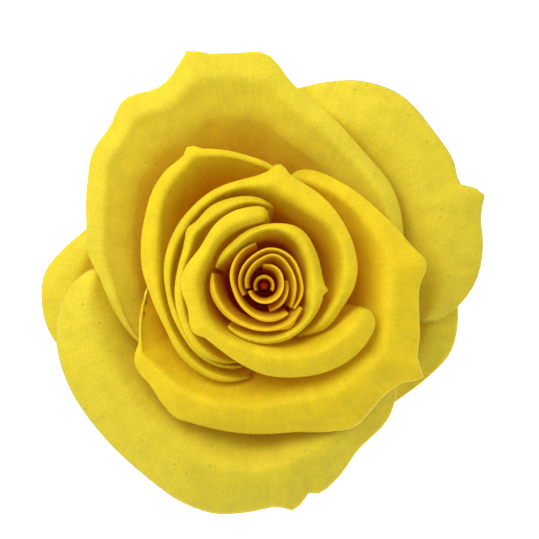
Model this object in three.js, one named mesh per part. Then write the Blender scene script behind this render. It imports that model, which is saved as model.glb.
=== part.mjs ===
import * as THREE from 'three'

// A preserved rose head, bloom up. Millimetres; Z = 0 is the cut face of the stem stub,
// and the stub's axis is the Z axis. Bearings are degrees anticlockwise from +X, from above.

// Driving dimensions
const STUB_RADIUS = 2.9
const HIP_RADIUS = 6.2
const DOME_RADIUS = 6.5 // the dome the petals grow from
const DOME_RIM_Z = 10
const DOME_TOP_Z = 17
const STAND_OFF = 0.3 // from the dome to a petal's claw
const CREST_CURL = 0.25 // how far a crest stands above the wall, a share of the lip's reach
const PETAL_YELLOW = '#dfc42c'
const HEART_ORANGE = '#b8640c'
const CALYX_OCHRE = '#a5933a'

// Each petal: name, claw = place on the dome (0 centre, 1 rim) at its first, middle and last
// bearing, belly = [share of the outward run, share of the rise] at the bulge of its wall, with a
// third value, how sharply the crest stands up, where it isn't CREST_CURL, thick, step = degrees
// between columns, rows = [bearing, crest radius, crest height, lip reach, lip drop].
const PETALS = [
  { name: 'heart_petal', claw: [0.06, 0.06, 0.06], belly: [0.7, 0.6], thick: 0.26, step: 12, rows: [
    [-30, 1.05, 37.9, 0.3, -0.05], [90, 1.1, 38.8, 0.35, -0.05], [210, 1.05, 37.7, 0.3, -0.05]] },
  { name: 'petal_01', claw: [0.125, 0.125, 0.125], belly: [0.66, 0.7], thick: 0.26, step: 14, rows: [
    [-162, 1.85, 39.5, 0.35, -0.05], [-118, 1.9, 40.8, 0.35, -0.05], [-60, 2.05, 41.2, 0.35, -0.05],
    [9, 2.3, 41.2, 0.35, -0.05], [53, 2.65, 41.1, 0.35, -0.05], [94, 2.55, 39.2, 0.35, -0.05]] },
  { name: 'petal_02', claw: [0.25, 0.22, 0.19], belly: [0.64, 0.72], thick: 0.28, step: 14, rows: [
    [-40, 4.25, 39.2, 0.35, -0.05], [-11, 3.95, 41.2, 0.35, -0.05], [33, 3.9, 41.5, 0.35, -0.05],
    [70, 4.1, 41.5, 0.35, -0.05], [99, 3.3, 41.4, 0.35, -0.05], [137, 2.55, 41.2, 0.35, -0.05],
    [188, 2.05, 39.8, 0.35, -0.05]] },
  { name: 'petal_03', claw: [0.33, 0.29, 0.255], belly: [0.66, 0.72], thick: 0.28, step: 14, rows: [
    [-38, 4.7, 39.5, 0.35, -0.05], [-10, 4.85, 41.1, 0.35, -0.05], [15, 4.7, 41.4, 0.35, -0.05],
    [50, 4.95, 41.4, 0.35, -0.05], [80, 4.75, 41.4, 0.35, -0.05], [110, 3.95, 41.4, 0.35, -0.05],
    [146, 3.35, 41.2, 0.35, -0.05], [205, 2.7, 39.8, 0.35, -0.05]] },
  { name: 'petal_04', claw: [0.19, 0.187, 0.183], belly: [0.64, 0.72], thick: 0.28, step: 12, rows: [
    [-78, 3.1, 38.5, 0.35, -0.05], [-45, 3.05, 40, 0.35, -0.05], [-5, 2.9, 40.1, 0.35, -0.05],
    [14, 2.85, 38.6, 0.35, -0.05]] },
  { name: 'petal_05', claw: [0.375, 0.34, 0.305], belly: [0.68, 0.72], thick: 0.28, step: 14, rows: [
    [100, 5.45, 40.1, 0.35, -0.05], [123, 5.15, 41.5, 0.35, -0.05], [153, 4.45, 41.7, 0.45, 0.15],
    [190, 3.65, 41.8, 0.45, 0.15], [232, 3.6, 41.8, 0.5, 0.15], [281, 4.15, 41.7, 0.6, 0.15],
    [312, 4.55, 40.3, 0.35, -0.05]] },
  { name: 'petal_06', claw: [0.415, 0.4, 0.385], belly: [0.68, 0.72], thick: 0.28, step: 14, rows: [
    [165, 6.7, 40.4, 0.35, -0.05], [186, 6.2, 41.8, 0.8, 0.6], [212, 5.7, 42.1, 0.8, 0.6],
    [245, 5.4, 42.2, 0.5, 0.15], [288, 5.55, 42.2, 0.5, 0.15], [302, 5.6, 42.1, 0.9, 0.7],
    [316, 5.55, 42, 0.45, 0.15], [331, 5.45, 40.6, 0.35, -0.05]] },
  { name: 'petal_07', claw: [0.46, 0.455, 0.45], belly: [0.7, 0.72], thick: 0.3, step: 13, rows: [
    [-132, 6.9, 40.4, 0.3, 0.2], [-110, 6.85, 42.3, 0.55, 0.5], [-73, 6.9, 42.6, 0.7, 0.6],
    [-36, 6.85, 42.6, 0.8, 0.6], [-24, 6.6, 42.5, 1.1, 0.8],
    [-13, 6.1, 42.5, 1.7, 0.9], [-8, 5.95, 42.5, 1.9, 1],
    [-4, 5.9, 42.5, 2.5, 1.1], [0, 5.9, 42.5, 2.1, 1.1], [10, 5.9, 42.5, 1.9, 1.1],
    [35, 6.5, 42.4, 1.7, 1], [58, 7.3, 42.3, 1.5, 0.9], [80, 7.4, 42.3, 0.9, 0.7],
    [99, 6.8, 42.3, 1, 0.7], [124, 6.1, 42.3, 1, 0.7], [145, 6.2, 42.1, 0.8, 0.6],
    [160, 6.6, 40.4, 0.2, 0.3]] },
  { name: 'petal_08', claw: [0.54, 0.556, 0.602], belly: [0.72, 0.72], thick: 0.34, step: 11, rows: [
    [85, 8.9, 40.4, 0.5, 0.3], [90, 8.6, 42.1, 1.7, 0.7], [99, 8.4, 42.7, 2.1, 0.9],
    [125, 8.4, 43.2, 2, 1.1], [150, 8.2, 43.3, 1.5, 0.9], [175, 8.3, 43.3, 2.6, 1.4],
    [196, 8.3, 43.3, 2.1, 1.2], [213, 8.3, 43.3, 2.7, 1.5], [222, 8.25, 43.3, 1.9, 1.2],
    [245, 7.9, 43.2, 2.4, 1.3], [271, 8.1, 43.1, 3.5, 2], [296, 9.2, 42.9, 3.9, 2.3],
    [320, 10.6, 42.4, 4.2, 2.5], [334, 11.7, 42, 3.6, 2.1], [342, 12.5, 41.2, 2.7, 1.6],
    [348, 13.2, 39.6, 0.6, 0.4]] },
  { name: 'petal_09', claw: [0.605, 0.618, 0.648], belly: [0.74, 0.72], thick: 0.34, step: 12, rows: [
    [83, 10.3, 39, 0.2, 0.3], [92, 10.6, 40.3, 0.9, 0.5], [102, 10.9, 40.8, 1.1, 0.6],
    [122, 10.7, 40.9, 1.8, 0.9], [136, 10.8, 40.9, 1.5, 0.8], [143, 10.8, 40.9, 1.8, 0.9],
    [150, 10.6, 40.9, 1.4, 0.8], [158, 10.4, 41, 1.2, 0.7], [184, 10.5, 41, 1.2, 0.7],
    [205, 10.8, 40.9, 1.1, 0.7], [225, 11.2, 40.5, 0.9, 0.6], [240, 11, 38.6, 0.5, 0.4],
    [254, 10.2, 35, 0.2, 0.2]] },
  { name: 'petal_10', claw: [0.522, 0.66, 0.69], belly: [0.73, 0.72], thick: 0.36, step: 11, rows: [
    [-58, 7.6, 37.8, 0.3, 0.2], [-48, 7.9, 39.4, 0.7, 0.4], [-34, 8.5, 40.8, 1.3, 0.7],
    [-16, 9.1, 41.4, 1.5, 0.8], [0, 9.8, 41.7, 2, 1.1], [14, 10.5, 41.8, 2, 1.2],
    [36, 11.1, 41.7, 2.1, 1.3], [60, 11, 41.5, 3.1, 1.6], [76, 11.7, 41.2, 3.1, 1.5],
    [83, 12.2, 41, 3.9, 1.5], [88, 12.5, 40.8, 2.5, 1.2], [96, 12.8, 40.6, 1.6, 1],
    [120, 13.1, 40.3, 1, 0.7], [160, 12.4, 40.1, 1.1, 0.7], [200, 11.8, 39.9, 0.7, 0.5],
    [222, 11.9, 39.3, 0.6, 0.5], [240, 11.7, 37.6, 0.4, 0.3], [255, 10.9, 34.6, 0.2, 0.2]] },
  { name: 'petal_11', claw: [0.75, 0.76, 0.77], belly: [0.76, 0.74], thick: 0.38, step: 11, rows: [
    [79, 14.1, 35.6, 0.2, 0.2], [85, 14.9, 36.9, 0.7, 0.3], [98, 16.4, 38.3, 0.9, 0.4],
    [110, 18, 39, 1, 0.4], [115, 18.5, 39.2, 1.3, 0.5], [118, 18.8, 39.2, 2.1, 0.5],
    [122, 18.4, 39.2, 1.6, 0.5], [130, 17.9, 39.1, 1.9, 0.7], [140, 16.8, 39, 2.3, 1],
    [153, 14.9, 39, 2.8, 1.4], [169, 13.7, 39, 2.7, 1.6], [185, 13.4, 38.9, 1.5, 1],
    [202, 13.1, 38.7, 1, 0.8], [225, 13.3, 38.3, 0.9, 0.7], [242, 13.1, 37.4, 0.7, 0.5],
    [253, 12.6, 36.2, 0.4, 0.3], [262, 11.9, 34.4, 0.2, 0.15]] },
  { name: 'petal_12', claw: [0.828, 0.826, 0.815], belly: [0.7, 0.76], thick: 0.42, step: 10, rows: [
    [180, 15.1, 33, 0.15, 0.15], [194, 16.5, 35, 0.3, 0.3], [205, 17.6, 36.4, 0.6, 0.4],
    [209, 17.8, 36.8, 1.7, 0.9], [214, 17.1, 37, 2.9, 1.6], [221, 16.8, 37.2, 3, 1.8],
    [229, 16.2, 37.6, 4.2, 2.6], [236, 15.8, 37.9, 5, 3.2], [243, 15.4, 38.1, 4.9, 3.4],
    [258, 14.6, 38.3, 5, 3.8], [281, 13.9, 38.5, 5.6, 4], [294, 14, 38.5, 7, 4.4],
    [303, 14.5, 38.5, 7.5, 4.6], [310, 14.6, 38.5, 7, 4.4], [319, 15.1, 38.5, 6.4, 4],
    [326, 15.5, 38.4, 7, 4], [330, 15.8, 38.3, 8.3, 4.2], [334, 15.5, 38.3, 6.9, 3.8],
    [341, 15.4, 38.3, 6.1, 3.4], [350, 15, 38.3, 5.6, 3], [360, 15, 38.3, 5.4, 2.8],
    [368, 15.3, 38.2, 6.2, 2.6], [375, 15.3, 38, 4.8, 2.2], [383, 15.1, 37.7, 3.9, 1.8],
    [393, 14.9, 37.4, 3.1, 1.4], [412, 14.6, 36.7, 2.4, 1.1], [424, 14.4, 35.9, 2.2, 1],
    [432, 14.2, 34.9, 1.8, 0.8], [438, 13.9, 33.8, 0.6, 0.4]] },
  { name: 'petal_13', claw: [0.902, 0.895, 0.888], belly: [0.78, 0.86, 0.05], thick: 0.42, step: 10, rows: [
    [-14, 16.8, 29.6, 0.5, 0.4], [5, 17.4, 31.8, 1.2, 0.8], [20, 17.6, 33.2, 2, 1.3],
    [37, 18.6, 34, 2.8, 1.8], [55, 19.4, 34.4, 2.9, 1.8], [73, 21.4, 34.9, 3.4, 1.6],
    [82, 23, 35.1, 4, 1.6], [89, 25.6, 35.3, 4.9, 1.6], [97, 26.5, 35.4, 4.3, 1.4],
    [104, 27, 35.5, 4.4, 1.3], [108, 27.4, 35.5, 5.1, 0.8], [112, 26.6, 35.4, 4, 1.5],
    [118, 25.8, 35.2, 3.6, 1.5], [127, 26.6, 35.1, 4.1, 1.6], [134, 25.6, 35, 3.7, 1.6],
    [142, 25, 34.9, 3.7, 1.6], [150, 23.2, 34.7, 3.6, 1.5], [160, 21.6, 34.5, 3.2, 1.4],
    [170, 20.6, 34.4, 2.9, 1.3], [178, 19.6, 34.2, 1.9, 1], [190, 18.8, 33.2, 1, 0.6],
    [200, 18.1, 32.3, 0.6, 0.4], [208, 17.3, 31.2, 0.3, 0.3]] },
  { name: 'petal_14', claw: [0.935, 0.935, 0.935], belly: [0.76, 0.72], thick: 0.44, step: 10, rows: [
    [174, 21.8, 29.6, 0.8, 0.4], [180, 21.6, 31.4, 3.8, 1.6], [188, 21.4, 32.4, 6, 2.8],
    [200, 20.9, 33, 7.7, 4], [220, 20.9, 33.2, 8.1, 4.8], [240, 21.1, 33, 8.7, 5.4],
    [256, 21.6, 32.8, 9.4, 6], [266, 22, 32.6, 8.1, 5.6], [273, 21.6, 32.6, 7.8, 5.2],
    [278.5, 20.8, 32.6, 9.3, 5], [281.5, 20.4, 32.6, 7.8, 5.2], [285, 20.2, 32.6, 8.2, 5.2],
    [291, 19.8, 32.6, 7.4, 4.8], [300, 19.2, 32.4, 5.8, 4], [315, 18.8, 31.6, 5, 3.2],
    [330, 18.6, 28.6, 1.6, 1.2]] },
  { name: 'petal_15', claw: [0.995, 0.995, 0.995], belly: [0.7, 0.74], thick: 0.44, step: 11, rows: [
    [142, 20.6, 22.2, 1.6, 0.8], [156, 21.6, 24.8, 2, 0.9], [163, 21.8, 25.8, 3, 1.1],
    [169, 22.4, 26.4, 4.5, 1.5], [176, 22.8, 26.7, 6.2, 2], [184, 23, 26.7, 6.5, 2.1],
    [193, 22.8, 26.4, 6.2, 2.1], [205, 22.4, 25.4, 4, 1.5], [218, 22, 23, 1.4, 0.8]] },
  { name: 'petal_16', claw: [0.95, 0.95, 0.95], belly: [0.72, 0.8, 0.1], thick: 0.44, step: 10, rows: [
    [-13, 21, 26.6, 2, 1], [-6, 21.4, 28.2, 4.6, 1.6], [2, 21.8, 29.4, 6.5, 2.2],
    [10, 22, 30.2, 7.5, 2.6], [18, 22.2, 30.8, 8, 2.8], [23.5, 22.4, 31, 9.2, 2.2],
    [27, 22.2, 31, 7, 2.7], [34, 22.4, 31, 7.7, 3], [42, 22.6, 31, 7.9, 3.1],
    [54, 22.8, 31, 8.3, 3.2], [63, 22.4, 30.8, 7.8, 3], [70, 22, 30.4, 6.9, 2.6],
    [80, 22, 29.2, 4.6, 1.8], [90, 22.6, 27.4, 2.2, 1], [98, 23, 26, 0.8, 0.6]] },
  { name: 'petal_17', claw: [0.995, 0.995, 0.995], belly: [0.7, 0.74], thick: 0.44, step: 11, rows: [
    [-64, 19, 21, 1.2, 0.6], [-50, 19.4, 23.4, 3, 1.2], [-38, 19.8, 24.6, 4, 1.6],
    [-30, 20, 25, 5, 1.9], [-20, 20.4, 25.4, 6, 2.2], [-10, 20.8, 25, 5.4, 2],
    [2, 21.6, 24.2, 3.6, 1.4], [16, 22.4, 22.2, 1.4, 0.8]] },
]

// Five sepals turned back under the bloom, their tips on the surface beside the stub.
const SEPALS = [[12, 17.6], [84, 16.8], [157, 18.2], [228, 17.2], [300, 17.9]]
const SEPAL_THICK = 0.7
// [share of the length, half width]
const SEPAL_OUTLINE = [[0, 2.3], [0.2, 3.3], [0.45, 3], [0.75, 1.7], [1, 0.45]]

const radians = (degrees) => (degrees * Math.PI) / 180
const mix = (a, b, t) => a + (b - a) * t

// A smooth curve through knots, [[x, y1, y2, ...], ...], read at x.
function through(knots, x) {
  const last = knots.length - 1
  let i = 0
  while (i < last - 1 && x > knots[i + 1][0]) i++
  const h = knots[i + 1][0] - knots[i][0]
  const t = Math.min(1, Math.max(0, (x - knots[i][0]) / h))
  const slope = (k, c) => {
    const a = Math.max(0, k - 1)
    const b = Math.min(last, k + 1)
    return (knots[b][c] - knots[a][c]) / (knots[b][0] - knots[a][0])
  }
  return knots[i].slice(1).map((y, n) => {
    const c = n + 1
    const y1 = knots[i + 1][c]
    const m0 = slope(i, c) * h
    const m1 = slope(i + 1, c) * h
    return (2 * t ** 3 - 3 * t ** 2 + 1) * y + (t ** 3 - 2 * t ** 2 + t) * m0
      + (3 * t ** 2 - 2 * t ** 3) * y1 + (t ** 3 - t ** 2) * m1
  })
}

// A petal's side profile at one bearing: knots of [distance, radius, height] from claw to margin.
function profile(petal, bearing) {
  const rows = petal.rows
  const [radius, height, reach, drop] = through(rows, bearing)
  const share = (bearing - rows[0][0]) / (rows[rows.length - 1][0] - rows[0][0])
  const [claw] = through(petal.claw.map((c, i) => [i / 2, c]), share)
  const rise = DOME_TOP_Z - DOME_RIM_Z
  const lean = Math.atan2(DOME_RADIUS, 2 * rise * claw)
  const out = [Math.cos(lean), Math.sin(lean)]
  const r0 = DOME_RADIUS * claw + out[0] * STAND_OFF
  const z0 = DOME_TOP_Z - rise * claw ** 2 + out[1] * STAND_OFF
  const span = Math.hypot(radius - r0, height - z0)
  const roll = 0.3 + (petal.belly[2] ?? CREST_CURL) * Math.min(reach, 4)
  const points = [
    [r0, z0],
    [r0 + out[0] * span * 0.1, z0 + out[1] * span * 0.1],
    [mix(r0, radius, petal.belly[0]), mix(z0, height, petal.belly[1])],
    [radius, height - roll],
    [radius + reach * 0.35, height],
    [radius + reach, height - drop],
  ]
  let along = 0
  return points.map((p, i) => {
    if (i > 0) along += Math.hypot(p[0] - points[i - 1][0], p[1] - points[i - 1][1])
    return [along, p[0], p[1]]
  })
}

function profilePoint(petal, bearing, at) {
  const knots = profile(petal, bearing)
  const k = Math.min(knots.length - 2, Math.floor(at))
  const [r, z] = through(knots, mix(knots[k][0], knots[k + 1][0], at - k))
  const a = radians(bearing)
  return new THREE.Vector3(r * Math.cos(a), r * Math.sin(a), z)
}

// Places on the profile, in knots from the claw, where the mesh has its rings.
const RINGS = [0, 1, 1.6, 2, 2.5, 3, 4, 4.5, 5]

// A thin closed body either side of a surface given as surface(column, ring).
function shell(columns, rings, surface, thick) {
  const at = []
  const e = 0.01
  for (let i = 0; i < columns; i++) {
    for (let j = 0; j < rings; j++) {
      const u = i / (columns - 1)
      const v = j / (rings - 1)
      const p = surface(u, v)
      const a = surface(Math.min(1, u + e), v).sub(surface(Math.max(0, u - e), v))
      const b = surface(u, Math.min(1, v + e)).sub(surface(u, Math.max(0, v - e)))
      at.push([p, a.cross(b).normalize().multiplyScalar(thick / 2)])
    }
  }
  const sheet = columns * rings
  const place = (k) => at[k % sheet][0].clone().addScaledVector(at[k % sheet][1], k < sheet ? 1 : -1)
  const faces = []
  const quad = (a, b, c, d) => faces.push([a, b, c], [a, c, d])
  for (let i = 0; i < columns - 1; i++) {
    for (let j = 0; j < rings - 1; j++) {
      const k = i * rings + j
      quad(k, k + rings, k + rings + 1, k + 1)
      quad(sheet + k, sheet + k + 1, sheet + k + rings + 1, sheet + k + rings)
    }
  }
  const edge = []
  for (let i = 0; i < columns - 1; i++) edge.push(i * rings)
  for (let j = 0; j < rings - 1; j++) edge.push((columns - 1) * rings + j)
  for (let i = columns - 1; i > 0; i--) edge.push(i * rings + rings - 1)
  for (let j = rings - 1; j > 0; j--) edge.push(j)
  edge.forEach((k, n) => {
    const next = edge[(n + 1) % edge.length]
    quad(k, sheet + k, sheet + next, next)
  })
  return body(Array.from({ length: 2 * sheet }, (_, k) => place(k)), faces)
}

function body(points, faces) {
  const geometry = new THREE.BufferGeometry()
  const flat = points.flatMap((p) => [p.x, p.y, p.z])
  geometry.setAttribute('position', new THREE.Float32BufferAttribute(flat, 3))
  geometry.setIndex(faces.flat())
  geometry.computeVertexNormals()
  return geometry
}

function petalGeometry(petal) {
  const first = petal.rows[0][0]
  const last = petal.rows[petal.rows.length - 1][0]
  const columns = Math.round((last - first) / petal.step) + 1
  const top = RINGS.length - 1
  const surface = (u, v) => {
    const j = Math.min(top - 1, Math.floor(v * top))
    return profilePoint(petal, mix(first, last, u), mix(RINGS[j], RINGS[j + 1], v * top - j))
  }
  return shell(columns, RINGS.length, surface, petal.thick)
}

// The furled petal at the very centre, closed up into a slender spindle.
function spindleGeometry() {
  const outline = [[0, 17.25], [0.13, 17.3], [0.2, 24], [0.42, 32], [0.5, 36], [0, 37.1]]
  return lathe(outline, 12)
}

function lathe(outline, sides) {
  const points = []
  const faces = []
  const inner = outline.slice(1, -1)
  for (const [r, z] of inner) {
    for (let i = 0; i < sides; i++) {
      const a = (2 * Math.PI * i) / sides
      points.push(new THREE.Vector3(r * Math.cos(a), r * Math.sin(a), z))
    }
  }
  const low = points.push(new THREE.Vector3(0, 0, outline[0][1])) - 1
  const high = points.push(new THREE.Vector3(0, 0, outline[outline.length - 1][1])) - 1
  const topRow = (inner.length - 1) * sides
  for (let i = 0; i < sides; i++) {
    const n = (i + 1) % sides
    faces.push([low, n, i], [high, topRow + i, topRow + n])
    for (let k = 0; k < inner.length - 1; k++) {
      const r = k * sides
      faces.push([r + i, r + n, r + sides + n], [r + i, r + sides + n, r + sides + i])
    }
  }
  return body(points, faces)
}

// Stub, hip and the dome that carries the petals, grown as one.
function hipGeometry() {
  const outline = [[0, 0], [STUB_RADIUS, 0], [STUB_RADIUS, 3], [3.4, 4], [5, 5.4],
    [HIP_RADIUS, 7.4], [DOME_RADIUS, 9.2], [DOME_RADIUS, DOME_RIM_Z]]
  for (const share of [0.85, 0.7, 0.5, 0.25, 0]) {
    outline.push([DOME_RADIUS * share, DOME_TOP_Z - (DOME_TOP_Z - DOME_RIM_Z) * share ** 2])
  }
  return lathe(outline, 24)
}

function sepalGeometry(bearing, tip) {
  const a = radians(bearing)
  const spine = [[0, 7.1, 8.1], [0.3, 10.6, 9.4], [0.6, 14, 7.6], [0.85, tip - 0.9, 3.2],
    [1, tip, SEPAL_THICK / 2 - 0.2]]
  const surface = (u, v) => {
    const [r, z] = through(spine, v)
    const [half] = through(SEPAL_OUTLINE, v)
    const side = (1 - 2 * u) * half
    const cup = 0.12 * side * side * (1 - v)
    return new THREE.Vector3(r * Math.cos(a) - side * Math.sin(a),
      r * Math.sin(a) + side * Math.cos(a), z - cup)
  }
  return shell(5, 10, surface, SEPAL_THICK)
}

function mesh(name, geometry, colour, roughness) {
  const material = new THREE.MeshStandardMaterial({ color: colour, roughness, metalness: 0 })
  const piece = new THREE.Mesh(geometry, material)
  piece.name = name
  return piece
}

const rose = new THREE.Group()
rose.name = 'preserved_rose_head'
rose.add(mesh('hip_and_stub', hipGeometry(), CALYX_OCHRE, 0.8))
SEPALS.forEach(([bearing, tip], i) => {
  rose.add(mesh(`sepal_${i + 1}`, sepalGeometry(bearing, tip), CALYX_OCHRE, 0.8))
})
rose.add(mesh('heart_spindle', spindleGeometry(), HEART_ORANGE, 0.7))
for (const petal of PETALS) {
  const colour = petal.name === 'heart_petal' ? HEART_ORANGE : PETAL_YELLOW
  rose.add(mesh(petal.name, petalGeometry(petal), colour, 0.65))
}

export default rose
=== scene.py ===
import math

import bpy
import numpy as np
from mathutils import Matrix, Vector, noise


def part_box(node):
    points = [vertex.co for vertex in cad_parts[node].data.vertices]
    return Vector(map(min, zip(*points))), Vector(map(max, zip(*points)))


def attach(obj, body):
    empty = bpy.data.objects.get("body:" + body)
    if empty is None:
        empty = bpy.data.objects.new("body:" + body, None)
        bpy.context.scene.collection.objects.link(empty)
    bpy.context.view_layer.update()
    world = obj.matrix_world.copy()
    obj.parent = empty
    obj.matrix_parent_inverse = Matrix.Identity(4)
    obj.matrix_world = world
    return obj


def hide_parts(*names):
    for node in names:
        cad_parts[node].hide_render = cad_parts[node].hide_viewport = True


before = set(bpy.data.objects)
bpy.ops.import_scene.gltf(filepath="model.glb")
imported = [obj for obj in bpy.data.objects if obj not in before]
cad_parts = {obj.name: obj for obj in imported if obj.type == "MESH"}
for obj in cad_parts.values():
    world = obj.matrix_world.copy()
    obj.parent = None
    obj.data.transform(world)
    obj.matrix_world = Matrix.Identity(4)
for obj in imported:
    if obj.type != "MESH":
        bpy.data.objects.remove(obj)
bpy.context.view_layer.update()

# A preserved rose head, bloom up. The tables are in millimetres, as the frame's own are, and
# meshes are made in metres. Bearings are degrees anticlockwise from +X, from above.
MM = 0.001
DOME_RADIUS = 6.5
DOME_RIM_Z = 10
DOME_TOP_Z = float(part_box("hip_and_stub")[1][2]) / MM
STUB_RADIUS = 2.9
HIP_RADIUS = 6.2
STAND_OFF = 0.3
CREST_CURL = 0.25
# How a petal's profile leaves the dome and rounds its crest.
ROOT_SHARE = 0.1  # of the span from claw to crest, run straight out of the dome
LEAST_ROLL = 0.3
LONGEST_ROLL = 4
CREST_SHARE = 0.35  # of the lip's reach, before the top of the crest
CREST_KNOT = 4

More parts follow.
